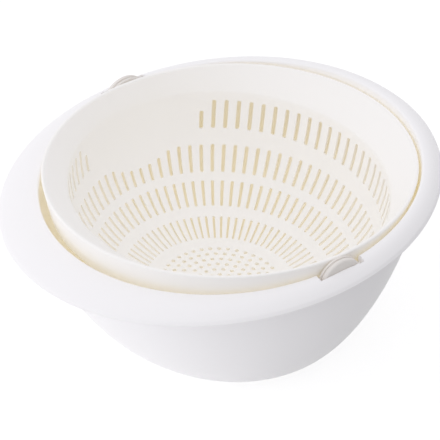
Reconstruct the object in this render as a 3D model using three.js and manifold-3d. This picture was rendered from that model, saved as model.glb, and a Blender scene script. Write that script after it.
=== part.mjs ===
// Draining basket: a slotted basket with a flared oval brim, hung on two pivot blocks in a wide-rimmed bowl.
// Millimetres, +Z up. The origin is on the table, in the middle of the bowl's foot. The basket tilts about
// an axis along X, through the pivot blocks. The bowl's wide pouring lip is towards -Y, the narrow one towards +Y.

import * as THREE from 'three';
import * as BufferGeometryUtils from 'three/addons/utils/BufferGeometryUtils.js';
import Module from 'manifold-3d';

const wasm = await Module();
wasm.setup();

// Basket cup: inner radius, depth of its full curve, squareness of that curve, the flat floor as a share of
// the radius, and the wall
const CUP_RADIUS = 97;
const CUP_CURVE_DEPTH = 91.5;
const CUP_SQUARENESS = 2.55;
const FLOOR_SHARE = 0.4433;
const FLOOR_RADIUS = CUP_RADIUS * FLOOR_SHARE;
const BASKET_WALL = 1.8;

// Basket brim: how far its outer edge stands out from the cup along X, towards -Y and towards +Y
const BRIM_OUT_SIDE = 7;
const BRIM_OUT_FRONT = 20.6;
const BRIM_OUT_BACK = 20;
const BRIM_SIDE = CUP_RADIUS + BRIM_OUT_SIDE;
const BRIM_FRONT = CUP_RADIUS + BRIM_OUT_FRONT;
const BRIM_BACK = CUP_RADIUS + BRIM_OUT_BACK;

// The flare below the brim: its depth, the power of its outward sweep, and the turn of its underside at the lip
const FLARE_DEPTH = 14;
const FLARE_SWEEP = 1.15;
const FLARE_TURN = THREE.MathUtils.degToRad(50);

// The narrow lip at the top of the flare, and the fork below it where flare and skirt part
const LIP_WIDTH = 2.2;
const LIP_CROWN = 0.4;
const LIP_CROWN_START = 0.7;
const LIP_ROUND = 0.7;
const LIP_FORK_OUT = 0.3;
const LIP_FORK_DEPTH = 2.3;

// The skirt that hangs from the lip: its height, and how far it leans in at the ends and beside the pivots
const SKIRT_HEIGHT = 22;
const SKIRT_LEAN = 6.5;
const SKIRT_LEAN_SIDE = 2;

// Drain slots: number in a full circle, open share of each pitch, each row's top and bottom as shares of the
// floor's depth, and the plain arch round each pivot with its radius as a share of the cup's
const SLOT_COUNT = 80;
const SLOT_SHARE = 0.33;
const SLOT_ROWS = [[0.2224, 0.4366], [0.5472, 0.7131], [0.7604, 0.879], [0.9205, 0.9896]];
const SHORTEST_SLOT = 4;
const ARCH_SHARE = 0.535;
const ARCH_RADIUS = CUP_RADIUS * ARCH_SHARE;
const ARCH_CENTRE_DEPTH = 2;

// Floor holes: rings of 6, 12, 18 and so on round a middle hole, out to a share of the floor's radius
const HOLE_RINGS = 7;
const HOLES_ADDED_PER_RING = 6;
const HOLE_SPREAD = 0.844;
const HOLE_PITCH = (FLOOR_RADIUS * HOLE_SPREAD) / HOLE_RINGS;
const HOLE_RADIUS = 1.35;
const HOLE_SIDES = 4;
const HOLE_PIN_LENGTH = 7;

// Pivots: height of the axis above the table, axle on the basket's skirt, domed block round the axle,
// and how far the basket leans at rest
const PIVOT_HEIGHT = 107.75;
const PIVOT_BELOW_BRIM = 4.4;
const REST_TILT = 4.5;
const AXLE_RADIUS = 2.2;
const AXLE_ENGAGEMENT = 3.4;
const AXLE_SIDES = 16;
const BLOCK_HALF_LENGTH = 14;
const BLOCK_HEIGHT = 10.4;
const BLOCK_FLAT_BELOW_AXLE = 5.2;
const BLOCK_INNER_PLATE = 1.4;
const BLOCK_GROOVE = 1.1;
const BLOCK_OUTER_PLATE = 2.5;
const BLOCK_GROOVE_DEPTH = 1.3;
const BLOCK_ARC_STEPS = 20;
const BLOCK_TO_BRIM = 0.8;

// Bowl: wall, foot, and fullness of the wall on each side
const BOWL_WALL = 2.3;
const FOOT_RADIUS = 53;
const FULLNESS_SIDE = 1.98;
const FULLNESS_FRONT = 1.57;
const FULLNESS_BACK = 1.31;

// Bowl rim: gaps from the basket's brim to the mouth, widths of the flange, its fall and its thickness
const MOUTH_GAP_SIDE = 3.2;
const MOUTH_GAP_FRONT = 2.6;
const MOUTH_GAP_BACK = 3.3;
const MOUTH_ROLL = 1.5;
const MOUTH_BELOW_PIVOT = 0.5;
const FLANGE_SIDE = 11.5;
const FLANGE_FRONT = 26;
const FLANGE_BACK = 12;
const FLANGE_DROP = 7.5;
const FLANGE_THICKNESS = 2.2;

// Notches that seat the pivot blocks, and clearances
const SEAT_CLEARANCE = 0.3;
const NOTCH_END_GAP = 1.5;
const SEAT_FLOOR = 3;
const SEAT_BORDER = 2.4;

// Facets
const BRIM_COLUMNS = SLOT_COUNT;
const WALL_COLUMNS = 2 * SLOT_COUNT;
const SLOTS_PER_FLOOR_COLUMN = 4;
const FLOOR_COLUMNS = SLOT_COUNT / SLOTS_PER_FLOOR_COLUMN;
const FLARE_STEPS = 3;
const BOWL_COLUMNS = 72;
const BOWL_WALL_STEPS = 7;
const FLANGE_STEPS = 3;
const PROFILE_SAMPLES = 400;
const SLOPE_STEP = 1;

// Heights worked out from the sizes above
const floorDepth = cupDepthAt(FLOOR_RADIUS);
const mouthHeight = PIVOT_HEIGHT - MOUTH_BELOW_PIVOT;
const blockThickness = BLOCK_INNER_PLATE + BLOCK_GROOVE + BLOCK_OUTER_PLATE;
const blockInnerX = BRIM_SIDE + BLOCK_TO_BRIM;
const blockOuterX = blockInnerX + blockThickness;
const blockFlatHeight = PIVOT_HEIGHT - BLOCK_FLAT_BELOW_AXLE;

const MOUTH = {
  side: BRIM_SIDE + MOUTH_GAP_SIDE,
  front: BRIM_FRONT + MOUTH_GAP_FRONT,
  back: BRIM_BACK + MOUTH_GAP_BACK,
};
const RIM_EDGE = {
  side: MOUTH.side + FLANGE_SIDE,
  front: MOUTH.front + FLANGE_FRONT,
  back: MOUTH.back + FLANGE_BACK,
};
const BRIM_EDGE = { side: BRIM_SIDE, front: BRIM_FRONT, back: BRIM_BACK };
const SKIRT_FOOT = {
  side: BRIM_SIDE - SKIRT_LEAN_SIDE,
  front: BRIM_FRONT - SKIRT_LEAN,
  back: BRIM_BACK - SKIRT_LEAN,
};

// Depth below the brim at which the cup's inner wall has radius r: (r/R)^n + (d/D)^n = 1
function cupDepthAt(r) {
  return CUP_CURVE_DEPTH * (1 - (r / CUP_RADIUS) ** CUP_SQUARENESS) ** (1 / CUP_SQUARENESS);
}

// Radius of the cup's inner wall at depth d, from the same curve
function cupRadiusAt(d) {
  return CUP_RADIUS * (1 - (d / CUP_CURVE_DEPTH) ** CUP_SQUARENESS) ** (1 / CUP_SQUARENESS);
}

// Points down the cup's inner wall from the flare to the floor, with the length run so far
function sampleCupWall() {
  const samples = [];
  let run = 0;
  for (let i = 0; i <= PROFILE_SAMPLES; i += 1) {
    const d = FLARE_DEPTH + (floorDepth - FLARE_DEPTH) * (i / PROFILE_SAMPLES);
    const r = cupRadiusAt(d);
    if (i > 0) {
      const last = samples[i - 1];
      run += Math.hypot(d - last.d, r - last.r);
    }
    samples.push({ d, r, run });
  }
  return samples;
}

const cupWall = sampleCupWall();
const cupWallLength = cupWall[PROFILE_SAMPLES].run;

// Point of the cup's inner wall at a length measured down the wall from the flare
function cupWallAt(length) {
  const next = Math.max(1, cupWall.findIndex((s) => s.run >= length));
  const a = cupWall[next - 1];
  const b = cupWall[next];
  const t = (length - a.run) / (b.run - a.run);
  return { d: THREE.MathUtils.lerp(a.d, b.d, t), r: THREE.MathUtils.lerp(a.r, b.r, t) };
}

// Length down the cup's inner wall, from the flare, at which it has reached a depth
function cupLengthAt(depth) {
  const next = Math.max(1, cupWall.findIndex((s) => s.d >= depth));
  const a = cupWall[next - 1];
  const b = cupWall[next];
  return THREE.MathUtils.lerp(a.run, b.run, (depth - a.d) / (b.d - a.d));
}

// The slot rows as lengths down the wall
const slotRows = SLOT_ROWS.map(([top, bottom]) => ({
  top: cupLengthAt(top * floorDepth),
  bottom: cupLengthAt(bottom * floorDepth),
}));

// Point of an oval outline: half width along X, and different reaches towards -Y and +Y
function ovalPoint(oval, angle, z) {
  const middleY = (oval.back - oval.front) / 2;
  const halfY = (oval.back + oval.front) / 2;
  return new THREE.Vector3(oval.side * Math.cos(angle), middleY + halfY * Math.sin(angle), z);
}

// The same outline moved outwards by a distance on every side
function grownOval(oval, by) {
  return { side: oval.side + by, front: oval.front + by, back: oval.back + by };
}

// An outline part of the way from one oval to another
function mixedOval(a, b, t) {
  return {
    side: THREE.MathUtils.lerp(a.side, b.side, t),
    front: THREE.MathUtils.lerp(a.front, b.front, t),
    back: THREE.MathUtils.lerp(a.back, b.back, t),
  };
}

// A round outline, as the cup has below its flare
function roundOutline(r) {
  return { side: r, front: r, back: r };
}

// A closed ring of points at even angles on an oval
function ovalRing(oval, z, columns) {
  const ring = [];
  for (let i = 0; i < columns; i += 1) {
    ring.push(ovalPoint(oval, (i / columns) * 2 * Math.PI, z));
  }
  return ring;
}

// Collects triangles and turns them into one merged geometry
class MeshBuilder {
  constructor() {
    this.positions = [];
  }

  triangle(a, b, c) {
    for (const p of [a, b, c]) {
      this.positions.push(p.x, p.y, p.z);
    }
  }

  quad(a, b, c, d) {
    this.triangle(a, b, c);
    this.triangle(a, c, d);
  }

  // Joins two rings of points with faces towards the axis when the first ring is the upper one.
  // Either ring may have a whole multiple of the other's points
  strip(first, second) {
    const columns = Math.min(first.length, second.length);
    const firstStep = first.length / columns;
    const secondStep = second.length / columns;
    for (let i = 0; i < columns; i += 1) {
      const a = ringSpan(first, i * firstStep, firstStep);
      const b = ringSpan(second, i * secondStep, secondStep);
      if (a.length > b.length) {
        this.fan(b, a, true);
      } else {
        this.fan(a, b, false);
      }
    }
  }

  // Fills between a two-point edge and a row of points: fans from both ends of the edge and one face between
  fan(edge, points, flipped) {
    const half = Math.floor(points.length / 2);
    const add = (a, b, c) => (flipped ? this.triangle(a, b, c) : this.triangle(a, c, b));
    for (let k = 0; k + 1 < points.length; k += 1) {
      add(edge[k < half ? 0 : 1], points[k], points[k + 1]);
    }
    add(edge[1], edge[0], points[half]);
  }

  // Closes a ring to a middle point
  cap(ring, middle, outwards) {
    for (let i = 0; i < ring.length; i += 1) {
      const next = ring[(i + 1) % ring.length];
      if (outwards) {
        this.triangle(middle, ring[i], next);
      } else {
        this.triangle(middle, next, ring[i]);
      }
    }
  }

  geometry() {
    const geometry = new THREE.BufferGeometry();
    geometry.setAttribute('position', new THREE.Float32BufferAttribute(this.positions, 3));
    return BufferGeometryUtils.mergeVertices(geometry);
  }
}

// The points of a ring from an index over a number of steps, with the last point included
function ringSpan(ring, start, steps) {
  const span = [];
  for (let k = 0; k <= steps; k += 1) {
    span.push(ring[(start + k) % ring.length]);
  }
  return span;
}

// Turns a geometry into a solid that can be joined and cut
function solidOf(geometry) {
  const bare = geometry.index ? geometry.toNonIndexed() : geometry.clone();
  bare.deleteAttribute('normal');
  bare.deleteAttribute('uv');
  const merged = BufferGeometryUtils.mergeVertices(bare);
  return new wasm.Manifold(new wasm.Mesh({
    numProp: 3,
    vertProperties: new Float32Array(merged.attributes.position.array),
    triVerts: new Uint32Array(merged.index.array),
  }));
}

// Turns a solid back into a geometry with flat faces
function geometryOf(solid) {
  const mesh = solid.getMesh();
  const geometry = new THREE.BufferGeometry();
  geometry.setAttribute('position', new THREE.Float32BufferAttribute(mesh.vertProperties, 3));
  geometry.setIndex(new THREE.Uint32BufferAttribute(mesh.triVerts, 1));
  const flat = geometry.toNonIndexed();
  flat.computeVertexNormals();
  return flat;
}

// A box solid from its lowest and highest corners
function boxSolid(low, high) {
  const size = high.clone().sub(low);
  const box = new THREE.BoxGeometry(size.x, size.y, size.z);
  const middle = low.clone().add(high).multiplyScalar(0.5);
  box.translate(middle.x, middle.y, middle.z);
  return solidOf(box);
}

// A round solid along X from one x to another, at a height on the pivot axis
function rodAlongX(radius, fromX, toX, z, sides) {
  const rod = new THREE.CylinderGeometry(radius, radius, Math.abs(toX - fromX), sides);
  rod.rotateZ(Math.PI / 2);
  rod.translate((fromX + toX) / 2, 0, z);
  return solidOf(rod);
}

// Length down the wall at which a slot at an angle starts: the row's top, or lower at the plain arch
function slotTop(row, angle) {
  const awayFromPivot = Math.acos(Math.abs(Math.cos(angle)));
  const along = awayFromPivot * CUP_RADIUS;
  if (along >= ARCH_RADIUS) {
    return row.top;
  }
  const archDepth = ARCH_CENTRE_DEPTH + Math.sqrt(ARCH_RADIUS ** 2 - along ** 2);
  return archDepth > FLARE_DEPTH ? Math.max(row.top, cupLengthAt(archDepth)) : row.top;
}

// The angles of the wall's columns: each slot has one column at either edge
function wallAngle(column) {
  const pitch = (2 * Math.PI) / SLOT_COUNT;
  const halfOpen = SLOT_SHARE / 2;
  const slot = Math.floor(column / 2);
  const side = column % 2 === 0 ? -1 : 1;
  return (slot + side * halfOpen) * pitch;
}

function slotMiddle(slot) {
  return (slot * 2 * Math.PI) / SLOT_COUNT;
}

function slotIsOpen(row, slot) {
  return row.bottom - slotTop(row, slotMiddle(slot)) >= SHORTEST_SLOT;
}

// A ring of points on the cup's wall; outward is 0 on the inner face and the wall's thickness on the outer
function wallRing(lengthAt, outward) {
  const ring = [];
  for (let column = 0; column < WALL_COLUMNS; column += 1) {
    const slot = Math.floor(column / 2);
    const at = cupWallAt(lengthAt(slot));
    const slope = cupWallAt(Math.min(cupWallLength, lengthAt(slot) + SLOPE_STEP));
    const normal = new THREE.Vector2(slope.d - at.d, slope.r - at.r).normalize();
    const outline = roundOutline(at.r + outward * normal.x);
    ring.push(ovalPoint(outline, wallAngle(column), -at.d + outward * normal.y));
  }
  return ring;
}

// Ends of each row on one face of the wall, as pairs of rings
function rowRings(outward) {
  return slotRows.map((row) => {
    const top = (slot) => (slotIsOpen(row, slot) ? slotTop(row, slotMiddle(slot)) : row.top);
    return { top: wallRing(top, outward), bottom: wallRing(() => row.bottom, outward) };
  });
}

// One ring of the flare at a share of the way up from the cup to the lip: outwards as a power of that share,
// and moved off by the wall's thickness along a direction that turns down towards the lip
function flareRing(share, outward) {
  const cup = roundOutline(cupRadiusAt(FLARE_DEPTH));
  const lip = grownOval(BRIM_EDGE, -LIP_WIDTH);
  const turn = share * FLARE_TURN;
  const oval = mixedOval(cup, lip, share ** FLARE_SWEEP);
  const z = -FLARE_DEPTH * (1 - share) - outward * Math.sin(turn);
  return ovalRing(grownOval(oval, outward * Math.cos(turn)), z, BRIM_COLUMNS);
}

// Rings up one face of the flare, from the cup to just below the lip
function flareRings(outward) {
  const rings = [];
  for (let step = 0; step < FLARE_STEPS; step += 1) {
    rings.push(flareRing(step / FLARE_STEPS, outward));
  }
  return rings;
}

// Rings from the fork down inside the skirt, round its foot, up its outer face and over the lip
function lipRings() {
  const lip = grownOval(BRIM_EDGE, -LIP_WIDTH);
  const section = [
    [grownOval(lip, LIP_FORK_OUT), -LIP_FORK_DEPTH],
    [grownOval(SKIRT_FOOT, -BASKET_WALL), -SKIRT_HEIGHT],
    [SKIRT_FOOT, -SKIRT_HEIGHT],
    [BRIM_EDGE, -LIP_ROUND],
    [grownOval(BRIM_EDGE, -LIP_ROUND), LIP_CROWN],
    [grownOval(lip, LIP_CROWN_START), LIP_CROWN],
    [lip, 0],
  ];
  return section.map(([oval, z]) => ovalRing(oval, z, BRIM_COLUMNS));
}

// The basket before its floor holes are cut, with the brim's top at z = 0
function basketShell() {
  const builder = new MeshBuilder();
  const innerRows = rowRings(0);
  const outerRows = rowRings(BASKET_WALL);
  const innerFloor = ovalRing(roundOutline(FLOOR_RADIUS), -floorDepth, FLOOR_COLUMNS);
  const outerFloor = ovalRing(roundOutline(FLOOR_RADIUS), -floorDepth - BASKET_WALL, FLOOR_COLUMNS);
  const path = [...flareRings(BASKET_WALL), ...lipRings(), ...flareRings(0).reverse()];
  builder.strip(outerRows[0].top, path[0]);
  for (let i = 0; i + 1 < path.length; i += 1) {
    builder.strip(path[i], path[i + 1]);
  }
  builder.strip(path[path.length - 1], innerRows[0].top);
  for (let r = 0; r < slotRows.length; r += 1) {
    addSlotRow(builder, slotRows[r], innerRows[r], outerRows[r]);
    if (r + 1 < slotRows.length) {
      builder.strip(innerRows[r].bottom, innerRows[r + 1].top);
      builder.strip(outerRows[r + 1].top, outerRows[r].bottom);
    }
  }
  const last = slotRows.length - 1;
  builder.strip(innerRows[last].bottom, innerFloor);
  builder.strip(outerFloor, outerRows[last].bottom);
  builder.cap(innerFloor, new THREE.Vector3(0, 0, -floorDepth), true);
  builder.cap(outerFloor, new THREE.Vector3(0, 0, -floorDepth - BASKET_WALL), false);
  return builder.geometry();
}

// One row of the wall: ribs and closed stretches as faces, open slots as four walls
function addSlotRow(builder, row, inner, outer) {
  for (let column = 0; column < WALL_COLUMNS; column += 1) {
    const next = (column + 1) % WALL_COLUMNS;
    const open = column % 2 === 0 && slotIsOpen(row, column / 2);
    const corners = (face) => [face.top[column], face.bottom[column], face.bottom[next], face.top[next]];
    const innerCorners = corners(inner);
    const outerCorners = corners(outer);
    if (!open) {
      builder.quad(...innerCorners.slice().reverse());
      builder.quad(...outerCorners);
      continue;
    }
    for (let k = 0; k < innerCorners.length; k += 1) {
      const m = (k + 1) % innerCorners.length;
      builder.quad(innerCorners[m], innerCorners[k], outerCorners[k], outerCorners[m]);
    }
  }
}

// The pins that cut the floor's drain holes: a middle one, then rings with six more each
function holePins() {
  const pins = [];
  const z = -floorDepth - BASKET_WALL / 2;
  for (let ring = 0; ring <= HOLE_RINGS; ring += 1) {
    const count = Math.max(1, HOLES_ADDED_PER_RING * ring);
    for (let i = 0; i < count; i += 1) {
      const angle = (i / count) * 2 * Math.PI;
      const pin = new THREE.CylinderGeometry(HOLE_RADIUS, HOLE_RADIUS, HOLE_PIN_LENGTH, HOLE_SIDES);
      pin.rotateX(Math.PI / 2);
      pin.translate(ring * HOLE_PITCH * Math.cos(angle), ring * HOLE_PITCH * Math.sin(angle), z);
      pins.push(solidOf(pin));
    }
  }
  return pins;
}

// The whole basket, with its two axles, in its own frame: brim top at z = 0
function makeBasket() {
  let solid = solidOf(basketShell());
  for (const pin of holePins()) {
    solid = solid.subtract(pin);
  }
  const rootX = BRIM_SIDE - BASKET_WALL;
  const tipX = blockInnerX + AXLE_ENGAGEMENT;
  for (const side of [-1, 1]) {
    solid = solid.add(rodAlongX(AXLE_RADIUS, side * rootX, side * tipX, -PIVOT_BELOW_BRIM, AXLE_SIDES));
  }
  return geometryOf(solid);
}

// Half width of the bowl's inner wall on one side at a share h of the way up from the floor to the mouth:
// foot + (top - foot) * (1 - (1 - h)^f)^(1/f), where f is the fullness of that side
function wallReach(foot, top, fullness, h) {
  return foot + (top - foot) * (1 - (1 - h) ** fullness) ** (1 / fullness);
}

function bowlWallOval(h, outward) {
  const foot = FOOT_RADIUS - BOWL_WALL;
  const top = grownOval(MOUTH, -MOUTH_ROLL);
  return {
    side: wallReach(foot, top.side, FULLNESS_SIDE, h) + outward,
    front: wallReach(foot, top.front, FULLNESS_FRONT, h) + outward,
    back: wallReach(foot, top.back, FULLNESS_BACK, h) + outward,
  };
}

// Rings of the flange on one face from the mouth to the edge: its fall grows as the square of the way out
function flangeRings(below) {
  const rings = [];
  for (let step = 0; step <= FLANGE_STEPS; step += 1) {
    const out = step / FLANGE_STEPS;
    const oval = mixedOval(grownOval(MOUTH, below), RIM_EDGE, out);
    rings.push(ovalRing(oval, mouthHeight - FLANGE_DROP * out ** 2 - below, BOWL_COLUMNS));
  }
  return rings;
}

// The bowl before its pivot seats: floor, inner wall, rolled mouth, flange and outer wall as one closed skin
function bowlShell() {
  const builder = new MeshBuilder();
  const wallTop = mouthHeight - MOUTH_ROLL;
  const outerTop = mouthHeight - FLANGE_THICKNESS - BOWL_WALL;
  const inner = [];
  const outer = [];
  for (let step = 0; step <= BOWL_WALL_STEPS; step += 1) {
    const h = 1 - Math.cos((step / BOWL_WALL_STEPS) * (Math.PI / 2));
    inner.push(ovalRing(bowlWallOval(h, 0), BOWL_WALL + h * (wallTop - BOWL_WALL), BOWL_COLUMNS));
    outer.push(ovalRing(bowlWallOval(h, BOWL_WALL), h * outerTop, BOWL_COLUMNS));
  }
  const rollTurn = Math.PI / 4;
  const rollOval = grownOval(MOUTH, -MOUTH_ROLL * (1 - Math.sin(rollTurn)));
  const roll = ovalRing(rollOval, wallTop + MOUTH_ROLL * Math.cos(rollTurn), BOWL_COLUMNS);
  const path = [...inner, roll, ...flangeRings(0), ...flangeRings(FLANGE_THICKNESS).reverse(), ...outer.reverse()];
  for (let i = 0; i + 1 < path.length; i += 1) {
    builder.strip(path[i + 1], path[i]);
  }
  builder.cap(path[0], new THREE.Vector3(0, 0, BOWL_WALL), true);
  builder.cap(path[path.length - 1], new THREE.Vector3(0, 0, 0), false);
  return builder.geometry();
}

// The bowl with a seat under the flange and a notch above it at each end of the pivot axis
function makeBowl() {
  let solid = solidOf(bowlShell());
  const seatTop = blockFlatHeight - SEAT_CLEARANCE;
  const notchHalf = BLOCK_HALF_LENGTH + NOTCH_END_GAP;
  const notchOuterX = blockOuterX + SEAT_CLEARANCE;
  const wallInnerX = MOUTH.side - MOUTH_ROLL;
  const notchTop = mouthHeight + BLOCK_HEIGHT;
  for (const side of [-1, 1]) {
    const seat = boxSolid(
      new THREE.Vector3(wallInnerX, -notchHalf - SEAT_BORDER, seatTop - SEAT_FLOOR),
      new THREE.Vector3(notchOuterX + SEAT_BORDER, notchHalf + SEAT_BORDER, mouthHeight - FLANGE_THICKNESS),
    );
    const notch = boxSolid(
      new THREE.Vector3(wallInnerX - BLOCK_HEIGHT, -notchHalf, seatTop),
      new THREE.Vector3(notchOuterX, notchHalf, notchTop),
    );
    const turn = side > 0 ? 0 : 180;
    solid = solid.add(seat.rotate([0, 0, turn])).subtract(notch.rotate([0, 0, turn]));
  }
  return geometryOf(solid);
}

// Outline of a block: a flat lower side under an arc through its two ends, with the axle's centre at the
// origin. An arc of height h over a half length a has the radius (a^2 + h^2) / 2h
function domeOutline(inset) {
  const half = BLOCK_HALF_LENGTH - inset;
  const height = BLOCK_HEIGHT - inset;
  const radius = (half ** 2 + height ** 2) / (2 * height);
  const flat = -BLOCK_FLAT_BELOW_AXLE;
  const middle = flat + height - radius;
  const end = Math.asin((flat - middle) / radius);
  const shape = new THREE.Shape();
  shape.moveTo(half, flat);
  shape.absarc(0, middle, radius, end, Math.PI - end, false);
  shape.closePath();
  return shape;
}

// One plate of a pivot block, standing across the X axis from one x to another
function blockPlate(inset, fromX, thickness) {
  const plate = new THREE.ExtrudeGeometry(domeOutline(inset), {
    depth: thickness,
    bevelEnabled: false,
    curveSegments: BLOCK_ARC_STEPS,
  });
  plate.rotateX(Math.PI / 2);
  plate.rotateZ(Math.PI / 2);
  plate.translate(fromX, 0, PIVOT_HEIGHT);
  return solidOf(plate);
}

// A pivot block: two domed plates with a groove between them and a blind bore for the axle
function makePivotBlock() {
  const overlap = BLOCK_GROOVE / 2;
  const grooveX = blockInnerX + BLOCK_INNER_PLATE;
  const outerPlateX = grooveX + BLOCK_GROOVE;
  const boreDepth = AXLE_ENGAGEMENT + SEAT_CLEARANCE;
  let solid = blockPlate(0, blockInnerX, BLOCK_INNER_PLATE);
  solid = solid.add(blockPlate(BLOCK_GROOVE_DEPTH, grooveX - overlap, BLOCK_GROOVE + 2 * overlap));
  solid = solid.add(blockPlate(0, outerPlateX, BLOCK_OUTER_PLATE));
  const boreRadius = AXLE_RADIUS + SEAT_CLEARANCE;
  const bore = rodAlongX(boreRadius, blockInnerX - overlap, blockInnerX + boreDepth, PIVOT_HEIGHT, AXLE_SIDES);
  return geometryOf(solid.subtract(bore));
}

function plastic(color, roughness) {
  return new THREE.MeshStandardMaterial({ color, roughness, metalness: 0 });
}

function named(name, geometry, material) {
  const mesh = new THREE.Mesh(geometry, material);
  mesh.name = name;
  return mesh;
}

const bowlPlastic = plastic(0xf2f1f4, 0.32);
const basketPlastic = plastic(0xf0eeea, 0.35);
const blockPlastic = plastic(0xe4e2de, 0.4);

const drainingBasket = new THREE.Group();
drainingBasket.add(named('outer_bowl', makeBowl(), bowlPlastic));

const tiltingBasket = new THREE.Group();
tiltingBasket.position.z = PIVOT_HEIGHT;
tiltingBasket.rotation.x = -THREE.MathUtils.degToRad(REST_TILT);
const basket = named('drain_basket', makeBasket(), basketPlastic);
basket.position.z = PIVOT_BELOW_BRIM;
tiltingBasket.add(basket);
drainingBasket.add(tiltingBasket);

const blockGeometry = makePivotBlock();
drainingBasket.add(named('pivot_block_front', blockGeometry, blockPlastic));
const backBlock = named('pivot_block_back', blockGeometry, blockPlastic);
backBlock.rotation.z = Math.PI;
drainingBasket.add(backBlock);

export default drainingBasket;
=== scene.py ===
"""Looks of the draining basket: a slotted basket hung on two pivot blocks in a wide-rimmed bowl.

Sizes are in millimetres and turn into metres when a piece is made. The frame is the solids' frame: +Z up,
the origin on the table in the middle of the bowl's foot, the basket tilting about an axis along X.
"""

import math

import bpy
import numpy as np
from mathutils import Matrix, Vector
from mathutils.geometry import delaunay_2d_cdt


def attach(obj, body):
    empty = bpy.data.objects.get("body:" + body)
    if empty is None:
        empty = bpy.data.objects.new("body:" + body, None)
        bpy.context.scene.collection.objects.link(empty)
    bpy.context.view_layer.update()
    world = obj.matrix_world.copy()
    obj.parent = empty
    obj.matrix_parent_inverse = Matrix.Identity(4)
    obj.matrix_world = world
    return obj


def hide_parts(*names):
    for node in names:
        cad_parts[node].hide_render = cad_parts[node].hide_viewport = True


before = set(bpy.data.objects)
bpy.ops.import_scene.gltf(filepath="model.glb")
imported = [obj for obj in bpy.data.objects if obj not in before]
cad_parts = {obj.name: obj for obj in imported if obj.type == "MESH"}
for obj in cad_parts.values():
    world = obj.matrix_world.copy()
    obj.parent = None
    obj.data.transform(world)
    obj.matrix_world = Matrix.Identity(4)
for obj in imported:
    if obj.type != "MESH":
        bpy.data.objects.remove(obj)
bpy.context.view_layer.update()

MM = 0.001

# Basket cup and floor
CUP_RADIUS = 97
CUP_CURVE_DEPTH = 91.5
CUP_SQUARENESS = 2.55
FLOOR_RADIUS = 43
BASKET_WALL = 1.8

# Basket brim: outer edge along X, towards -Y and towards +Y, then its flare, lip, fork and skirt
BRIM_EDGE = np.array([104, 117.6, 117])
FLARE_DEPTH = 14
FLARE_SWEEP = 1.15
FLARE_TURN = math.radians(50)
LIP_WIDTH = 2.2
LIP_CROWN = 0.4
LIP_DROP = 0.5
FORK_OUT = 0.3
FORK_DEPTH = 2.3
SKIRT_HEIGHT = 22
SKIRT_LEAN = np.array([2, 6.5, 6.5])
SKIRT_FOOT = BRIM_EDGE - SKIRT_LEAN
LIP_ARC_START = math.radians(145)
FLARE_RINGS = 12
OUTER_FLARE_RINGS = 6
OUTER_FLARE_TOP = 2 / 3
LIP_RINGS = 12
SKIRT_SHARES = np.linspace(0.05, 1, 9)
SKIRT_FOOT_RINGS = 6
SKIRT_INSIDE_SHARES = np.linspace(0.3, 1, 4)

# Drain slots: rows are shares of the floor's depth, widths and rib columns are shares of a slot's pitch
SLOT_COUNT = 80
SLOT_SHARE = 0.33
SLOT_CORNER = 0.45
SLOT_CELLS = 3
RIB_COLUMNS = [0.39, 0.61]
ROW_STEPS = 5
BAND_SHARES = np.array([[1 / 3], [2 / 3]])
LAST_BAND_SHARES = np.array([[0.5], [1.0]])
SLOT_ROWS = [[0.2224, 0.4366], [0.5472, 0.7131], [0.7604, 0.879], [0.9205, 0.9896]]
SHORTEST_SLOT = 4
ARCH_RADIUS = 51.9
ARCH_CENTRE_DEPTH = 2
WALL_SAMPLES = 800

# Floor holes: rings of 6, 12, 18 and so on round a middle hole
HOLE_RINGS = 7
HOLES_ADDED_PER_RING = 6
HOLE_STEP = 5.185
HOLE_RADIUS = 1.35
HOLE_SIDES = 14
MERGE_DISTANCE = 1e-6

# Pivots
PIVOT_HEIGHT = 107.75
PIVOT_BELOW_BRIM = 4.4
REST_TILT = math.radians(4.5)
AXLE_RADIUS = 2.2
AXLE_ROOT_X = 102.2
AXLE_TIP_X = 108.2
AXLE_SIDES = 24
BLOCK_INNER_X = 104.8
BLOCK_HALF_LENGTH = 14
BLOCK_HEIGHT = 10.4
BLOCK_FLAT_BELOW_AXLE = 5.2
BORE_RADIUS = 2.5
BORE_DEPTH = 3.7
BORE_BEVEL = 0.3
BLOCK_CORNER_POWER = 24
BLOCK_COLUMNS = 160
LEAST_FALL = 1e-3

# Section of a pivot block, as pairs of distance from its inner face and inset from its outline
INNER_PLATE = [(0, 0.5), (0.12, 0.15), (0.4, 0), (1.1, 0), (1.32, 0.1), (1.42, 0.35)]
GROOVE = [(1.46, 1.2), (2.44, 1.2)]
OUTER_PLATE = [(2.48, 0.4), (2.6, 0.14), (2.85, 0), (3.6, 0.03), (4.1, 0.16), (4.5, 0.4)]
OUTER_FACE = [(4.78, 0.75), (4.93, 1.15), (5, 1.7), (5, 3.2)]
BLOCK_SECTION = INNER_PLATE + GROOVE + OUTER_PLATE + OUTER_FACE

# Bowl: outlines are reaches along X, towards -Y and towards +Y
BOWL_WALL = 2.3
FOOT_RADIUS = 53
FULLNESS = np.array([1.98, 1.57, 1.31])
MOUTH = np.array([107.2, 120.2, 120.3])
MOUTH_HEIGHT = 107.25
MOUTH_ROLL = 1.5
RIM_EDGE = np.array([118.7, 146.2, 132.3])
FLANGE_DROP = 7.5
FLANGE_THICKNESS = 2.2
FLANGE_EDGE_START = math.radians(50)
UNDER_FLANGE_START = 0.93

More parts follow.
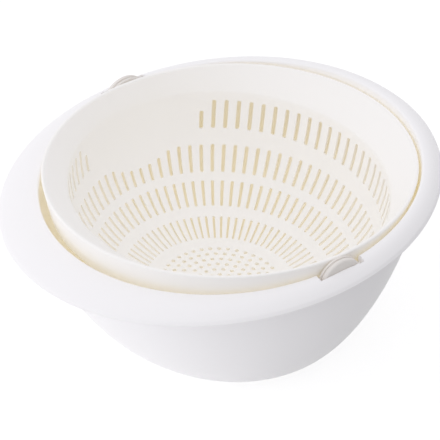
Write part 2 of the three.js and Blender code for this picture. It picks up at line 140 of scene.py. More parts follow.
# Rings and columns of the bowl. Flange rings are shares of the way out, close together where the notch ends
BOWL_FLOOR_RADII = np.array([8, 30, 44])
BOWL_WALL_RINGS = 40
MOUTH_ROLL_RINGS = 7
FLANGE_EDGE_RINGS = 9
UNDER_FLANGE_RINGS = 12
COVE_RINGS = 3
INNER_FLANGE = np.linspace(0.02, 0.2, 5)
NOTCH_FLANGE = np.linspace(0.215, 0.3, 12)
OUTER_FLANGE = np.linspace(0.33, 0.95, 12)
BOWL_COLUMNS = 300
NOTCH_END_COLUMNS = np.radians(np.arange(5.8, 9.9, 0.16))
ANGLE_DIGITS = 6

# Notch that seats each pivot block, and the seat below it
NOTCH_FLOOR = 102.25
NOTCH_OUTER_X = 110.1
NOTCH_HALF = 15.5
NOTCH_EDGE = 0.5
SEAT_FLOOR = 3
SEAT_BORDER = 2.4

# Painted warm glow, standing in for light through the bowl's wall, is full up to this height
PAINTED_GLOW_FULL = 103
PAINTED_GLOW_SHARE = "light_through"

# Picture: where the camera stands, in degrees and millimetres
CAMERA_TURN = 53.38
CAMERA_RISE = 39.22
CAMERA_DISTANCE = 4906
CAMERA_LENS = 674.3
AIM_HEIGHT = 112.15
AIM_RIGHT = -6.28
AIM_UP = -30.6

# Light: the window's place, size and power, the room's levels, and the table in metres
SOFT_WHITE = (0.99, 0.98, 1.01)
WINDOW_DISTANCE = 1.6
WINDOW_SIZE = 1.0
WINDOW_POWER = 3
WINDOW_LEFT = 0.9
WINDOW_FRONT = 0.3
WINDOW_RISE = 0.15
ROOM_LEFT = 0.3
ROOM_DIM = 0.38
ROOM_BRIGHT = 1.0
TABLE_HALF = 4
# Painted shade on the table: the colour it bounces fades from white to grey towards the right over this span
TABLE_FADE = (-0.02, 0.16)
TABLE_BOUNCE_PAINTED_SHADE = (1.0, 0.4)
TABLE_GREY = (0.3, 0.3, 0.3)
TABLE_WHITE = 0.8
MOST_BOUNCES = 24
DIFFUSE_BOUNCES = 20

# Plastic: the satin skin's cloudiness and grain, and its gloss
CLOUD_SCALE = 26
CLOUD_DETAIL = 4
GLOSS_SPREAD = 0.05
GRAIN_SCALE = 1400
GRAIN_DETAIL = 2
GRAIN_STRENGTH = 0.05
GRAIN_HEIGHT = 0.0002
PLASTIC_IOR = 1.49
PLASTIC_SPECULAR = 0.12

SMOOTH_ANGLE = math.radians(38)
TURN = 2 * math.pi
QUARTER = math.pi / 2


def oval_rings(reaches, heights, angles):
    """Rings of points on ovals. With reaches s, f and b along X, -Y and +Y, a point at an angle is
    x = s times the cosine and y = (b - f) / 2 plus (b + f) / 2 times the sine."""
    side, front, back = (reaches[:, k, None] for k in range(3))
    x = side * np.cos(angles)
    y = (back - front) / 2 + (back + front) / 2 * np.sin(angles)
    z = np.broadcast_to(np.asarray(heights)[:, None], x.shape)
    return np.stack([x, y, z], axis=2)


def grid_faces(rings, columns):
    """Four-sided faces between neighbouring rings of a grid that closes round its columns. They face the
    axis where the rings go up."""
    ring, column = np.meshgrid(np.arange(rings - 1), np.arange(columns), indexing="ij")
    after = (column + 1) % columns
    here = ring * columns
    above = here + columns
    return np.stack([here + column, above + column, above + after, here + after], axis=2)


def pole_faces(pole, ring_start, columns, upwards):
    """Three-sided faces from one point to a ring of points."""
    column = np.arange(columns)
    first = ring_start + column
    second = ring_start + (column + 1) % columns
    pair = [first, second] if upwards else [second, first]
    return np.stack([np.full(columns, pole), *pair], axis=1)


def smooth_step(value, low, high):
    """0 below low, 1 above high, and 3t^2 - 2t^3 between them."""
    t = np.clip((value - low) / (high - low), 0, 1)
    return t * t * (3 - 2 * t)


def make_piece(name, points, face_groups, material, through=None):
    """A mesh object from points in millimetres and arrays of faces, smooth where faces meet gently. The
    points may carry a share of painted glow, which stands in for light that comes through the wall."""
    faces = [face for group in face_groups for face in group.tolist()]
    mesh = bpy.data.meshes.new(name)
    mesh.from_pydata((points * MM).tolist(), [], faces)
    mesh.validate()
    mesh.shade_smooth()
    mesh.set_sharp_from_angle(angle=SMOOTH_ANGLE)
    # Each point's share of painted glow, which stands in for light through the wall
    if through is not None:
        layer = mesh.attributes.new(PAINTED_GLOW_SHARE, "FLOAT", "POINT")
        layer.data.foreach_set("value", through)
    mesh.materials.append(material)
    piece = bpy.data.objects.new(name, mesh)
    bpy.context.scene.collection.objects.link(piece)
    return piece


def bowl_wall_reach(share, outward):
    """Reaches of the bowl's wall at a share h of its height: foot + (top - foot) times
    (1 - (1 - h)^f)^(1/f), where f is the fullness of each side."""
    foot = FOOT_RADIUS - BOWL_WALL
    top = MOUTH - MOUTH_ROLL
    rise = (1 - (1 - share[:, None]) ** FULLNESS) ** (1 / FULLNESS)
    return foot + (top - foot) * rise + outward


def flange_reach(out, below):
    """Reaches and heights of the flange at shares of the way out: the fall grows as the share's square."""
    inner = MOUTH + below
    reach = inner + (RIM_EDGE - inner) * out[:, None]
    return reach, MOUTH_HEIGHT - below - FLANGE_DROP * out ** 2


def bowl_path():
    """Reaches and heights along the bowl's section, from the floor up the inner wall, over the rolled
    mouth and the flange, round its edge, and down the outer wall. The third array is 1 where a notch lowers
    the top, -1 where its seat lowers the underside, and 0 elsewhere. The fourth is the share of painted
    glow, which stands in for light through the wall: all of it inside, falling to none at the mouth."""
    wall = np.linspace(0, 1, BOWL_WALL_RINGS) ** 2
    floor_rings = BOWL_FLOOR_RADII
    roll = np.linspace(0, QUARTER, MOUTH_ROLL_RINGS + 1)[1:]
    out = np.concatenate([INNER_FLANGE, NOTCH_FLANGE, OUTER_FLANGE])
    edge_round = FLANGE_THICKNESS / 2
    edge = np.linspace(FLANGE_EDGE_START, -QUARTER, FLANGE_EDGE_RINGS)
    under = np.linspace(UNDER_FLANGE_START, 0, UNDER_FLANGE_RINGS)
    cove = np.linspace(0, QUARTER, COVE_RINGS + 2)[1:-1]

    parts = []
    parts.append((floor_rings[:, None] + np.zeros(3), np.full(3, BOWL_WALL), 0))
    inner_top = MOUTH_HEIGHT - MOUTH_ROLL
    parts.append((bowl_wall_reach(wall, 0), BOWL_WALL + wall * (inner_top - BOWL_WALL), 1))
    roll_reach = MOUTH - MOUTH_ROLL * np.cos(roll)[:, None]
    parts.append((roll_reach, inner_top + MOUTH_ROLL * np.sin(roll), 1))
    parts.append((*flange_reach(out, 0), 1))
    edge_reach = RIM_EDGE - edge_round + edge_round * np.cos(edge)[:, None]
    edge_height = MOUTH_HEIGHT - FLANGE_DROP - edge_round + edge_round * np.sin(edge)
    parts.append((edge_reach, edge_height, 0))
    parts.append((*flange_reach(under, FLANGE_THICKNESS), -1))
    outer_top = MOUTH_HEIGHT - FLANGE_THICKNESS - BOWL_WALL
    wall_out = BOWL_WALL - MOUTH_ROLL
    cove_reach = MOUTH + wall_out + (FLANGE_THICKNESS - wall_out) * (1 - np.sin(cove))[:, None]
    parts.append((cove_reach, outer_top + BOWL_WALL * np.cos(cove), -1))
    parts.append((bowl_wall_reach(wall[::-1], BOWL_WALL), wall[::-1] * outer_top, -1))
    parts.append((floor_rings[::-1, None] + np.zeros(3), np.zeros(3), 0))

    reaches = np.concatenate([part[0] for part in parts])
    heights = np.concatenate([part[1] for part in parts])
    faces_of = np.concatenate([np.full(len(part[1]), part[2]) for part in parts])
    # Share of painted glow: full low inside the bowl, fading out towards the mouth
    through = np.zeros(len(heights))
    inside = len(floor_rings) + len(wall)
    through[:inside] = 1 - smooth_step(heights[:inside], PAINTED_GLOW_FULL, MOUTH_HEIGHT)
    return reaches, heights, faces_of, through


def bowl_angles():
    """Column angles of the bowl: even all round, and close together where a notch ends."""
    even = np.arange(BOWL_COLUMNS) * TURN / BOWL_COLUMNS
    near_end = NOTCH_END_COLUMNS
    ends = [near_end, -near_end, math.pi - near_end, math.pi + near_end]
    return np.unique(np.round(np.concatenate([even, *ends]) % TURN, ANGLE_DIGITS))


def sink(points, level, outer_x, half_length):
    """Heights lowered to a level inside a rectangle at either end of the pivot axis, with a soft border."""
    x = np.abs(points[..., 0])
    y = np.abs(points[..., 1])
    inside = smooth_step(outer_x - x, -NOTCH_EDGE / 2, NOTCH_EDGE / 2)
    inside = inside * smooth_step(half_length - y, -NOTCH_EDGE / 2, NOTCH_EDGE / 2)
    return points[..., 2] - inside * np.maximum(points[..., 2] - level, 0)


def make_bowl(material):
    """The bowl as one closed skin: the section's ovals, with a notch sunk in the top and a seat below."""
    reaches, heights, faces_of, through = bowl_path()
    angles = bowl_angles()
    rings = oval_rings(reaches, heights, angles)
    top = faces_of > 0
    below = faces_of < 0
    seat_level = NOTCH_FLOOR - SEAT_FLOOR
    rings[top, :, 2] = sink(rings[top], NOTCH_FLOOR, NOTCH_OUTER_X, NOTCH_HALF)
    seat_outer_x = NOTCH_OUTER_X + SEAT_BORDER
    rings[below, :, 2] = sink(rings[below], seat_level, seat_outer_x, NOTCH_HALF + SEAT_BORDER)
    count, columns = rings.shape[:2]
    poles = np.array([[0, 0, BOWL_WALL], [0, 0, 0]])
    points = np.concatenate([rings.reshape(-1, 3), poles])
    first_pole = count * columns
    faces = [
        grid_faces(count, columns).reshape(-1, 4),
        pole_faces(first_pole, 0, columns, True),
        pole_faces(first_pole + 1, first_pole - columns, columns, False),
    ]
    # Each point carries its share of painted glow
    point_painted_glow = np.concatenate([np.repeat(through, columns), [1, 0]])
    return make_piece("bowl_moulding", points, faces, material, point_painted_glow)


def cup_radius(depth):
    """Radius r of the cup's inner wall at a depth d: (r/R)^n + (d/D)^n = 1."""
    return CUP_RADIUS * (1 - (depth / CUP_CURVE_DEPTH) ** CUP_SQUARENESS) ** (1 / CUP_SQUARENESS)


def cup_depth(radius):
    """Depth of the cup's inner wall at a radius, from the same curve."""
    return CUP_CURVE_DEPTH * (1 - (radius / CUP_RADIUS) ** CUP_SQUARENESS) ** (1 / CUP_SQUARENESS)


floor_depth = cup_depth(FLOOR_RADIUS)
wall_depths = np.linspace(FLARE_DEPTH, floor_depth, WALL_SAMPLES)
wall_radii = cup_radius(wall_depths)
wall_steps = np.hypot(np.diff(wall_depths), np.diff(wall_radii))
wall_lengths = np.concatenate([[0], np.cumsum(wall_steps)])
wall_length = wall_lengths[-1]
slope_depth = np.gradient(wall_depths, wall_lengths)
slope_radius = np.gradient(wall_radii, wall_lengths)

# Columns of the basket in shares of a slot's pitch: two at each side of a slot, and two on the rib
half_slot = SLOT_SHARE / 2
inner_slot = half_slot * (1 - SLOT_CORNER)
column_shares = np.array([-half_slot, -inner_slot, inner_slot, half_slot, *RIB_COLUMNS])
columns_per_slot = len(column_shares)
slot_pitch = TURN / SLOT_COUNT
basket_angles = ((np.arange(SLOT_COUNT)[:, None] + column_shares) * slot_pitch).ravel()
basket_columns = len(basket_angles)


def cup_ring(lengths, outward):
    """A ring on the cup's wall at a length down the wall for each column, moved off along its normal."""
    depth = np.interp(lengths, wall_lengths, wall_depths)
    radius = np.interp(lengths, wall_lengths, wall_radii)
    radius = radius + outward * np.interp(lengths, wall_lengths, slope_depth)
    height = -depth + outward * np.interp(lengths, wall_lengths, slope_radius)
    x = radius * np.cos(basket_angles)
    y = radius * np.sin(basket_angles)
    return np.stack([x, y, height], axis=1)


def length_at(depth):
    """Length down the cup's inner wall, from the flare, at which it has reached a depth."""
    return np.interp(depth, wall_depths, wall_lengths)


def slot_tops(row):
    """Length at which each slot of a row starts: the row's top, or lower where the plain arch round a pivot
    is, a circle on the unrolled wall. The second array says which slots are open."""
    row_top = length_at(row[0] * floor_depth)
    middle = np.arange(SLOT_COUNT) * slot_pitch
    along = np.arccos(np.abs(np.cos(middle))) * CUP_RADIUS
    arch = ARCH_CENTRE_DEPTH + np.sqrt(np.maximum(ARCH_RADIUS ** 2 - along ** 2, 0))
    tops = np.maximum(row_top, length_at(arch))
    is_open = length_at(row[1] * floor_depth) - tops >= SHORTEST_SLOT
    return np.where(is_open, tops, row_top), is_open


def row_lengths(row):
    """Lengths of a row's rings, from its tops to its bottoms. The corners of each slot are eased: its edge
    columns start and end further in, by a share of half the slot's width."""
    tops, is_open = slot_tops(row)
    bottom = length_at(row[1] * floor_depth)
    rounding = np.where(np.abs(column_shares) < half_slot, 0, SLOT_CORNER)
    half_width = half_slot * slot_pitch * np.interp(tops, wall_lengths, wall_radii)
    low_width = half_slot * slot_pitch * np.interp(bottom, wall_lengths, wall_radii)
    by_column = np.repeat(tops[:, None], columns_per_slot, axis=1)
    by_column[:, -1] = np.roll(tops, -1)
    top_lengths = (by_column + half_width[:, None] * rounding).ravel()
    bottom_lengths = np.tile(bottom - low_width * rounding, SLOT_COUNT)
    steps = np.linspace(0, 1, ROW_STEPS + 1)[:, None]
    return top_lengths + (bottom_lengths - top_lengths) * steps, is_open


def wall_ring_lengths():
    """Lengths of every ring down the wall for each column, and for each row the index of its first ring
    and which of its slots are open. Two rings lie on the plain band above each row, and two below the
    last."""
    lengths = [np.zeros((1, basket_columns))]
    starts = []
    open_slots = []
    for row in SLOT_ROWS:
        row_rings, is_open = row_lengths(row)
        above = lengths[-1][-1]
        band = above + (row_rings[0] - above) * BAND_SHARES
        lengths.append(band)
        starts.append(sum(len(part) for part in lengths))
        lengths.append(row_rings)
        open_slots.append(is_open)
    last = lengths[-1][-1]
    lengths.append(last + (wall_length - last) * LAST_BAND_SHARES)
    return np.concatenate(lengths), starts, open_slots


def flare_rings(shares, outward):
    """Rings of the flare at shares of the way up from the cup to the lip: outwards as a power of the share,
    upwards evenly, moved off along a direction that turns down towards the lip."""
    lip = BRIM_EDGE - LIP_WIDTH
    cup = cup_radius(FLARE_DEPTH)
    turns = (shares * FLARE_TURN)[:, None]
    reaches = cup + (lip - cup) * (shares ** FLARE_SWEEP)[:, None] + outward * np.cos(turns)
    heights = -FLARE_DEPTH * (1 - shares) - outward * np.sin(turns[:, 0])
    return oval_rings(reaches, heights, basket_angles)


def lip_rings():
    """Rings over the lip as an arc of an ellipse, straight down the leaning skirt, round its foot as a half
    circle, and straight up inside to the fork."""
    lip = BRIM_EDGE - LIP_WIDTH
    half_width = LIP_WIDTH / 2
    arc = np.linspace(LIP_ARC_START, 0, LIP_RINGS)[:, None]
    arc_reach = lip + half_width + half_width * np.cos(arc)
    arc_height = (LIP_CROWN + LIP_DROP) * np.sin(arc[:, 0]) - LIP_DROP
    foot_round = BASKET_WALL / 2
    foot_height = foot_round - SKIRT_HEIGHT
    skirt_reach = BRIM_EDGE + (SKIRT_FOOT - BRIM_EDGE) * SKIRT_SHARES[:, None]
    skirt_height = -LIP_DROP + (foot_height + LIP_DROP) * SKIRT_SHARES
    turn = np.linspace(0, math.pi, SKIRT_FOOT_RINGS + 1)[1:, None]
    turn_reach = SKIRT_FOOT - foot_round + foot_round * np.cos(turn)
    turn_height = foot_height - foot_round * np.sin(turn[:, 0])
    fork = lip + FORK_OUT
    inner_foot = SKIRT_FOOT - BASKET_WALL
    inside_reach = inner_foot + (fork - inner_foot) * SKIRT_INSIDE_SHARES[:, None]
    inside_height = foot_height + (-FORK_DEPTH - foot_height) * SKIRT_INSIDE_SHARES
    reaches = np.concatenate([arc_reach, skirt_reach, turn_reach, inside_reach])
    heights = np.concatenate([arc_height, skirt_height, turn_height, inside_height])
    return oval_rings(reaches, heights, basket_angles)


def slot_loop(first_row_ring, slot):
    """Rings and columns round one slot's outline on the inner wall: up its left edge, along its top, down
    its right edge and along its bottom. Rings count down the wall from the flare."""
    left = slot * columns_per_slot
    right = left + SLOT_CELLS
    rings = np.arange(ROW_STEPS + 1)
    across = np.arange(1, SLOT_CELLS)
    ring = [rings[::-1], np.zeros(SLOT_CELLS - 1, int), rings, np.full(SLOT_CELLS - 1, ROW_STEPS)]
    column = [np.full(len(rings), left), left + across, np.full(len(rings), right), right - across]
    return first_row_ring + np.concatenate(ring), np.concatenate(column)


def floor_plate(outline, holes):
    """Faces of a flat plate with round holes, by a Delaunay triangulation of its outline and the holes'
    outlines. Points are the outline's and then the holes', in order."""
    flat = np.concatenate([outline, holes.reshape(-1, 2)])
    edge_count = len(outline)
    outline_index = np.arange(edge_count)
    hole_index = edge_count + np.arange(len(flat) - edge_count).reshape(len(holes), HOLE_SIDES)
    edges = [np.stack([outline_index, np.roll(outline_index, -1)], axis=1)]
    edges.append(np.stack([hole_index, np.roll(hole_index, -1, axis=1)], axis=2).reshape(-1, 2))
    made = delaunay_2d_cdt(flat.tolist(), np.concatenate(edges).tolist(), [], 0, MERGE_DISTANCE)
    source = np.array([origin[0] for origin in made[3]])
    faces = source[np.array(made[2])]
    corners = flat[faces]
    ab = corners[:, 1] - corners[:, 0]
    ac = corners[:, 2] - corners[:, 0]
    turned = ab[:, 0] * ac[:, 1] - ab[:, 1] * ac[:, 0] < 0
    faces[turned] = faces[turned][:, ::-1]
    middles = corners.mean(axis=1)
    hole_middles = holes.mean(axis=1)
    nearest = np.linalg.norm(middles[:, None] - hole_middles, axis=2).min(axis=1)
    return faces[nearest > HOLE_RADIUS], hole_index


def floor_holes():
    """Outlines of the floor's holes: circles on rings of six more each round a middle one."""
    middles = [np.zeros((1, 2))]
    for ring in range(1, HOLE_RINGS + 1):
        count = HOLES_ADDED_PER_RING * ring
        angles = np.arange(count) * TURN / count
        middles.append(ring * HOLE_STEP * np.stack([np.cos(angles), np.sin(angles)], axis=1))
    around = np.arange(HOLE_SIDES) * TURN / HOLE_SIDES
    circle = HOLE_RADIUS * np.stack([np.cos(around), np.sin(around)], axis=1)
    return np.concatenate(middles)[:, None] + circle


def rod_along_x(radius, from_x, to_x, height, sides):
    """A closed round rod along X: two rings and two poles."""
    around = np.arange(sides) * TURN / sides
    rings = np.zeros((2, sides, 3))
    rings[..., 0] = np.array([[from_x], [to_x]])
    rings[..., 1] = radius * np.cos(around)
    rings[..., 2] = height + radius * np.sin(around)
    poles = np.array([[from_x, 0, height], [to_x, 0, height]])
    points = np.concatenate([rings.reshape(-1, 3), poles])
    round_faces = grid_faces(2, sides).reshape(-1, 4)[:, ::-1]
    ends = [pole_faces(2 * sides, 0, sides, False), pole_faces(2 * sides + 1, sides, sides, True)]
    return points, [round_faces, *ends]


def tilted(points):
    """Points of the basket's own frame, with the brim at height 0, leaned about the pivot as at rest."""
    y = points[:, 1]
    z = points[:, 2] + PIVOT_BELOW_BRIM
    leaned_y = y * math.cos(REST_TILT) + z * math.sin(REST_TILT)
    leaned_z = z * math.cos(REST_TILT) - y * math.sin(REST_TILT)
    return np.stack([points[:, 0], leaned_y, leaned_z + PIVOT_HEIGHT], axis=1)


def make_basket(material):
    """The basket as one closed skin with open slots and floor holes: rings up the inner wall, over the flare
    and lip, and down the outer wall, joined through every slot and hole, a floor plate at either face, and
    the two axles."""
    lengths, starts, open_slots = wall_ring_lengths()
    wall_rings = len(lengths)
    inner = np.stack([cup_ring(row, 0) for row in lengths])
    outer = np.stack([cup_ring(row, BASKET_WALL) for row in lengths])
    outer[-1, :, :2] = inner[-1, :, :2]
    outer[-1, :, 2] = inner[-1, :, 2] - BASKET_WALL
    up = np.linspace(0, 1, FLARE_RINGS + 1)[1:]
    down = np.linspace(OUTER_FLARE_TOP, 0, OUTER_FLARE_RINGS + 1)[:-1]
    brim = [flare_rings(up, 0), lip_rings(), flare_rings(down, BASKET_WALL)]
    rings = np.concatenate([inner[::-1], *brim, outer])
    count = len(rings)
    outer_start = count - wall_rings

    closed = np.ones((count - 1, basket_columns), bool)
    walls = []
    for start, is_open in zip(starts, open_slots):
        for slot in np.flatnonzero(is_open):
            cells = slot * columns_per_slot + np.arange(SLOT_CELLS)
            low = wall_rings - 1 - start - ROW_STEPS
            closed[low:low + ROW_STEPS, cells] = False
            closed[outer_start + start:outer_start + start + ROW_STEPS, cells] = False
            ring, column = slot_loop(start, slot)
            inside = (wall_rings - 1 - ring) * basket_columns + column
            outside = (outer_start + ring) * basket_columns + column
            walls.append(np.stack([inside, np.roll(inside, -1), np.roll(outside, -1), outside], axis=1))

    holes = floor_holes()
    plate, hole_index = floor_plate(inner[-1, :, :2], holes)
    flat_holes = holes.reshape(-1, 2)
    total = count * basket_columns
    upper_holes = np.column_stack([flat_holes, np.full(len(flat_holes), inner[-1, 0, 2])])
    lower_holes = upper_holes - [0, 0, BASKET_WALL]
    upper_edge = np.arange(basket_columns)
    upper = np.concatenate([upper_edge, total + np.arange(len(flat_holes))])
    lower_edge = (count - 1) * basket_columns + upper_edge
    lower = np.concatenate([lower_edge, total + len(flat_holes) + np.arange(len(flat_holes))])
    after = np.roll(hole_index, -1, axis=1)
    hole_walls = np.stack([upper[hole_index], upper[after], lower[after], lower[hole_index]], axis=2)

    points = np.concatenate([rings.reshape(-1, 3), upper_holes, lower_holes])
    faces = [
        grid_faces(count, basket_columns)[closed],
        np.concatenate(walls),
        upper[plate],
        lower[plate][:, ::-1],
        hole_walls.reshape(-1, 4),
    ]
    for side in (1, -1):
        rod, rod_faces = rod_along_x(AXLE_RADIUS, AXLE_ROOT_X, AXLE_TIP_X, -PIVOT_BELOW_BRIM, AXLE_SIDES)
        rod = rod * [side, side, 1]
        faces += [group + len(points) for group in rod_faces]
        points = np.concatenate([points, rod])
    return make_piece("basket_moulding", tilted(points), faces, material)


def block_reach(angles):
    """Distance from the axle's middle to the block's domed outline: the nearer of an arc over its two ends
    and the flat below, with corners softened by a power mean."""
    radius = (BLOCK_HALF_LENGTH ** 2 + BLOCK_HEIGHT ** 2) / (2 * BLOCK_HEIGHT)
    centre = BLOCK_HEIGHT - BLOCK_FLAT_BELOW_AXLE - radius
    towards = centre * np.sin(angles)
    arc = towards + np.sqrt(towards ** 2 - centre ** 2 + radius ** 2)
    fall = np.maximum(-np.sin(angles), LEAST_FALL)
    flat = BLOCK_FLAT_BELOW_AXLE / fall
    power = BLOCK_CORNER_POWER
    return (arc ** -power + flat ** -power) ** (-1 / power)


def make_block(name, side, material):
    """A pivot block: the domed outline carried along X through pairs of distance and inset, from the bottom
    of the bore, over the inner plate, the groove and the outer plate, to the rounded outer face."""
    angles = np.arange(BLOCK_COLUMNS) * TURN / BLOCK_COLUMNS
    outline = block_reach(angles)
    bore = [(BORE_DEPTH, BORE_RADIUS), (BORE_BEVEL, BORE_RADIUS), (0, BORE_RADIUS + BORE_BEVEL)]
    reaches = [np.full(len(angles), radius) for _, radius in bore]
    reaches += [outline - inset for _, inset in BLOCK_SECTION]
    distances = [x for x, _ in bore + BLOCK_SECTION]
    reach = np.stack(reaches)
    x = np.broadcast_to(BLOCK_INNER_X + np.array(distances)[:, None], reach.shape)
    rings = np.stack([x, reach * np.cos(angles), PIVOT_HEIGHT + reach * np.sin(angles)], axis=2)
    count, columns = rings.shape[:2]
    pole_x = BLOCK_INNER_X + np.array([BORE_DEPTH, distances[-1]])
    poles = np.column_stack([pole_x, np.zeros(2), np.full(2, PIVOT_HEIGHT)])
    points = np.concatenate([rings.reshape(-1, 3), poles])
    total = count * columns
    faces = [
        grid_faces(count, columns).reshape(-1, 4)[:, ::-1],
        pole_faces(total, 0, columns, False),
        pole_faces(total + 1, total - columns, columns, True),
    ]
    return make_piece(name, points * [side, side, 1], faces, material)


def moulded_skin():
    """Shader group for moulded plastic: a faint cloudiness in colour and gloss, and a fine satin grain."""
    group = bpy.data.node_groups.new("moulded_skin", "ShaderNodeTree")
    face = group.interface
    colour = "NodeSocketColor"
    value = "NodeSocketFloat"
    for socket, kind in (("Colour", colour), ("Shade", colour), ("Roughness", value)):
        face.new_socket(socket, in_out="INPUT", socket_type=kind)
    for socket, kind in (("Colour", colour), ("Roughness", value), ("Height", value)):
        face.new_socket(socket, in_out="OUTPUT", socket_type=kind)
    nodes = group.nodes
    link = group.links.new
    given = nodes.new("NodeGroupInput")
    result = nodes.new("NodeGroupOutput")
    place = nodes.new("ShaderNodeTexCoord")

    cloud = nodes.new("ShaderNodeTexNoise")
    cloud.inputs["Scale"].default_value = CLOUD_SCALE
    cloud.inputs["Detail"].default_value = CLOUD_DETAIL
    link(place.outputs["Object"], cloud.inputs["Vector"])
    tint = nodes.new("ShaderNodeMix")
    tint.data_type = "RGBA"
    link(cloud.outputs["Fac"], tint.inputs["Factor"])
    link(given.outputs["Colour"], tint.inputs["A"])
    link(given.outputs["Shade"], tint.inputs["B"])
    link(tint.outputs["Result"], result.inputs["Colour"])

    gloss = nodes.new("ShaderNodeMapRange")
    gloss.inputs["To Min"].default_value = -GLOSS_SPREAD
    gloss.inputs["To Max"].default_value = GLOSS_SPREAD
    link(cloud.outputs["Fac"], gloss.inputs["Value"])
    sheen = nodes.new("ShaderNodeMath")
    link(given.outputs["Roughness"], sheen.inputs[0])
    link(gloss.outputs["Result"], sheen.inputs[1])
    link(sheen.outputs["Value"], result.inputs["Roughness"])

    grain = nodes.new("ShaderNodeTexNoise")
    grain.inputs["Scale"].default_value = GRAIN_SCALE
    grain.inputs["Detail"].default_value = GRAIN_DETAIL
    link(place.outputs["Object"], grain.inputs["Vector"])
    link(grain.outputs["Fac"], result.inputs["Height"])
    return group


def plastic(name, group, colour, shade, roughness):
    """White moulded plastic with a satin skin."""
    material = bpy.data.materials.new(name)
    material.use_nodes = True
    nodes = material.node_tree.nodes
    link = material.node_tree.links.new
    shader = nodes["Principled BSDF"]
    skin = nodes.new("ShaderNodeGroup")
    skin.node_tree = group
    skin.inputs["Colour"].default_value = (*colour, 1)
    skin.inputs["Shade"].default_value = (*shade, 1)
    skin.inputs["Roughness"].default_value = roughness
    bump = nodes.new("ShaderNodeBump")
    bump.inputs["Strength"].default_value = GRAIN_STRENGTH
    bump.inputs["Distance"].default_value = GRAIN_HEIGHT
    link(skin.outputs["Colour"], shader.inputs["Base Color"])
    link(skin.outputs["Roughness"], shader.inputs["Roughness"])
    link(skin.outputs["Height"], bump.inputs["Height"])
    link(bump.outputs["Normal"], shader.inputs["Normal"])
    shader.inputs["IOR"].default_value = PLASTIC_IOR
    shader.inputs["Specular IOR Level"].default_value = PLASTIC_SPECULAR
    return material


def paint_glow_through_wall(material, glow):
    """Painted glow for a thin wall lit from outside: a faint warm emission, as strong as the points' share.
    """
    nodes = material.node_tree.nodes
    link = material.node_tree.links.new
    shader = nodes["Principled BSDF"]
    share = nodes.new("ShaderNodeAttribute")
    share.attribute_name = PAINTED_GLOW_SHARE
    warm = nodes.new("ShaderNodeMix")
    warm.data_type = "RGBA"
    warm.inputs["A"].default_value = (0, 0, 0, 1)
    warm.inputs["B"].default_value = (*glow, 1)
    link(share.outputs["Fac"], warm.inputs["Factor"])
    # Painted glow: emission in the glow's colour, as strong as the point's share
    link(warm.outputs["Result"], shader.inputs["Emission Color"])
    shader.inputs["Emission Strength"].default_value = 1


def bowl_finish(skin):
    """Cool white plastic with a painted warm glow inside, which stands in for light through the wall."""
    white = (0.975, 0.97, 0.972)
    shade = (0.97, 0.965, 0.967)
    material = plastic("bowl_plastic", skin, white, shade, roughness=0.38)
    # Painted warm glow inside the bowl, standing in for light through its wall
    paint_glow_through_wall(material, glow=(0.054, 0.042, 0.008))
    return material


def basket_finish(skin):
    """Warm white plastic with a faint even painted glow, which stands in for light through its thin wall."""
    white = (0.98, 0.97, 0.945)
    shade = (0.975, 0.965, 0.94)
    # Painted glow: a faint even emission that stands in for light through the thin wall
    glow = (0.012, 0.011, 0.009)
    material = plastic("basket_plastic", skin, white, shade, roughness=0.4)
    shader = material.node_tree.nodes["Principled BSDF"]
    shader.inputs["Emission Color"].default_value = (*glow, 1)
    shader.inputs["Emission Strength"].default_value = 1
    return material


def block_finish(skin):
    """Pale grey white plastic."""
    grey = (0.84, 0.81, 0.77)
    shade = (0.83, 0.8, 0.76)
    return plastic("block_plastic", skin, grey, shade, roughness=0.42)


def white_rays(nodes, link):
    """A factor that is 1 for what the camera sees, straight, mirrored or through glass."""
    path = nodes.new("ShaderNodeLightPath")
    mirrored = nodes.new("ShaderNodeMath")
    mirrored.operation = "MAXIMUM"
    seen = nodes.new("ShaderNodeMath")
    seen.operation = "MAXIMUM"
    link(path.outputs["Is Glossy Ray"], mirrored.inputs[0])
    link(path.outputs["Is Transmission Ray"], mirrored.inputs[1])
    link(path.outputs["Is Camera Ray"], seen.inputs[0])
    link(mirrored.outputs["Value"], seen.inputs[1])
    return seen.outputs["Value"]


def slope_of_light(nodes, link, place_kind, towards, span, levels):
    """A level that goes evenly from one value to another as a place goes along a direction over a span."""
    place = nodes.new("ShaderNodeTexCoord")
    side = nodes.new("ShaderNodeVectorMath")
    side.operation = "DOT_PRODUCT"
    side.inputs[1].default_value = towards
    level = nodes.new("ShaderNodeMapRange")
    sockets = ("From Min", "From Max", "To Min", "To Max")
    for socket, value in zip(sockets, (*span, *levels)):
        level.inputs[socket].default_value = value
    link(place.outputs[place_kind], side.inputs[0])
    link(side.outputs["Value"], level.inputs["Value"])
    return level.outputs["Result"]


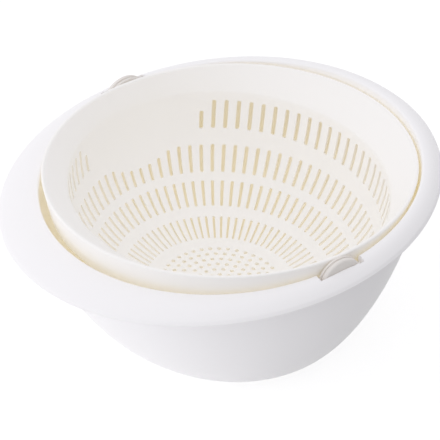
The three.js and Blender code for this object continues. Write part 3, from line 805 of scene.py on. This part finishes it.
def make_floor(right):
    """A white table whose bounce colour is painted shade, darker towards the right; it looks white and keeps
    a faint shadow.
    """
    half = TABLE_HALF
    corners = [(-half, -half, 0), (half, -half, 0), (half, half, 0), (-half, half, 0)]
    mesh = bpy.data.meshes.new("table")
    mesh.from_pydata(corners, [], [(0, 1, 2, 3)])
    material = bpy.data.materials.new("white_table")
    material.use_nodes = True
    nodes = material.node_tree.nodes
    link = material.node_tree.links.new
    nodes.remove(nodes["Principled BSDF"])
    bounce = nodes.new("ShaderNodeBsdfDiffuse")
    # Painted shade: the bounce colour goes from white to grey towards the right
    level = slope_of_light(nodes, link, "Object", right, TABLE_FADE, TABLE_BOUNCE_PAINTED_SHADE)
    link(level, bounce.inputs["Color"])
    seen = nodes.new("ShaderNodeBsdfDiffuse")
    seen.inputs["Color"].default_value = (*TABLE_GREY, 1)
    white = nodes.new("ShaderNodeEmission")
    white.inputs["Strength"].default_value = TABLE_WHITE
    both = nodes.new("ShaderNodeAddShader")
    mix = nodes.new("ShaderNodeMixShader")
    link(seen.outputs[0], both.inputs[0])
    link(white.outputs[0], both.inputs[1])
    link(white_rays(nodes, link), mix.inputs[0])
    link(bounce.outputs[0], mix.inputs[1])
    link(both.outputs[0], mix.inputs[2])
    link(mix.outputs[0], nodes["Material Output"].inputs["Surface"])
    mesh.materials.append(material)
    table = bpy.data.objects.new("table", mesh)
    bpy.context.scene.collection.objects.link(table)
    return table


def make_world(colour, towards, dim, bright):
    """Soft light from everywhere, growing evenly from dim to bright towards one side. The camera sees
    white."""
    world = bpy.data.worlds.new("soft_room")
    bpy.context.scene.world = world
    world.use_nodes = True
    nodes = world.node_tree.nodes
    link = world.node_tree.links.new
    room = nodes["Background"]
    room.inputs["Color"].default_value = (*colour, 1)
    level = slope_of_light(nodes, link, "Generated", towards.normalized(), (-1, 1), (dim, bright))
    link(level, room.inputs["Strength"])
    white = nodes.new("ShaderNodeBackground")
    white.inputs["Color"].default_value = (1, 1, 1, 1)
    mix = nodes.new("ShaderNodeMixShader")
    link(white_rays(nodes, link), mix.inputs[0])
    link(room.outputs[0], mix.inputs[1])
    link(white.outputs[0], mix.inputs[2])
    link(mix.outputs[0], nodes["World Output"].inputs["Surface"])


def make_lamp(name, direction, distance, size, power, colour):
    """A soft square lamp that looks at the basket from a direction and a distance in metres."""
    data = bpy.data.lights.new(name, "AREA")
    data.size = size
    data.energy = power
    data.color = colour
    lamp = bpy.data.objects.new(name, data)
    away = direction.normalized()
    lamp.location = Vector((0, 0, AIM_HEIGHT * MM)) + away * distance
    lamp.rotation_mode = "QUATERNION"
    lamp.rotation_quaternion = away.to_track_quat("Z", "Y")
    bpy.context.scene.collection.objects.link(lamp)


def make_camera():
    """A long lens that looks down on the basket from the front right. Gives the picture's right and the
    direction back to the camera."""
    turn = math.radians(CAMERA_TURN)
    rise = math.radians(CAMERA_RISE)
    back = Vector((math.sin(turn) * math.cos(rise), -math.cos(turn) * math.cos(rise), math.sin(rise)))
    right = Vector((math.cos(turn), math.sin(turn), 0))
    up = back.cross(right)
    aim = Vector((0, 0, AIM_HEIGHT)) + right * AIM_RIGHT + up * AIM_UP
    data = bpy.data.cameras.new("camera")
    data.lens = CAMERA_LENS
    camera = bpy.data.objects.new("camera", data)
    camera.location = (aim + back * CAMERA_DISTANCE) * MM
    camera.rotation_mode = "QUATERNION"
    camera.rotation_quaternion = back.to_track_quat("Z", "Y")
    bpy.context.scene.collection.objects.link(camera)
    bpy.context.scene.camera = camera
    return right, back


right, back = make_camera()
skin = moulded_skin()
bowl_plastic = bowl_finish(skin)
basket_plastic = basket_finish(skin)
block_plastic = block_finish(skin)

bowl = make_bowl(bowl_plastic)
basket = make_basket(basket_plastic)
front_block = make_block("front_pivot_block", 1, block_plastic)
back_block = make_block("back_pivot_block", -1, block_plastic)

PIECES = [
    (bowl, "bowl", "outer_bowl", "bowl_plastic"),
    (basket, "basket", "drain_basket", "basket_plastic"),
    (front_block, "pivot_blocks", "pivot_block_front", "block_plastic"),
    (back_block, "pivot_blocks", "pivot_block_back", "block_plastic"),
]
for piece, body, node, slot in PIECES:
    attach(piece, body)
    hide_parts(node)

make_floor(right)
upwards = Vector((0, 0, 1))
towards_camera = Vector((back.x, back.y, 0))
make_world(SOFT_WHITE, upwards - ROOM_LEFT * right, ROOM_DIM, ROOM_BRIGHT)
window = WINDOW_FRONT * towards_camera - WINDOW_LEFT * right + WINDOW_RISE * upwards
make_lamp("window", window, WINDOW_DISTANCE, WINDOW_SIZE, WINDOW_POWER, SOFT_WHITE)

scene = bpy.context.scene
scene.view_settings.view_transform = "Standard"
scene.cycles.max_bounces = MOST_BOUNCES
scene.cycles.diffuse_bounces = DIFFUSE_BOUNCES
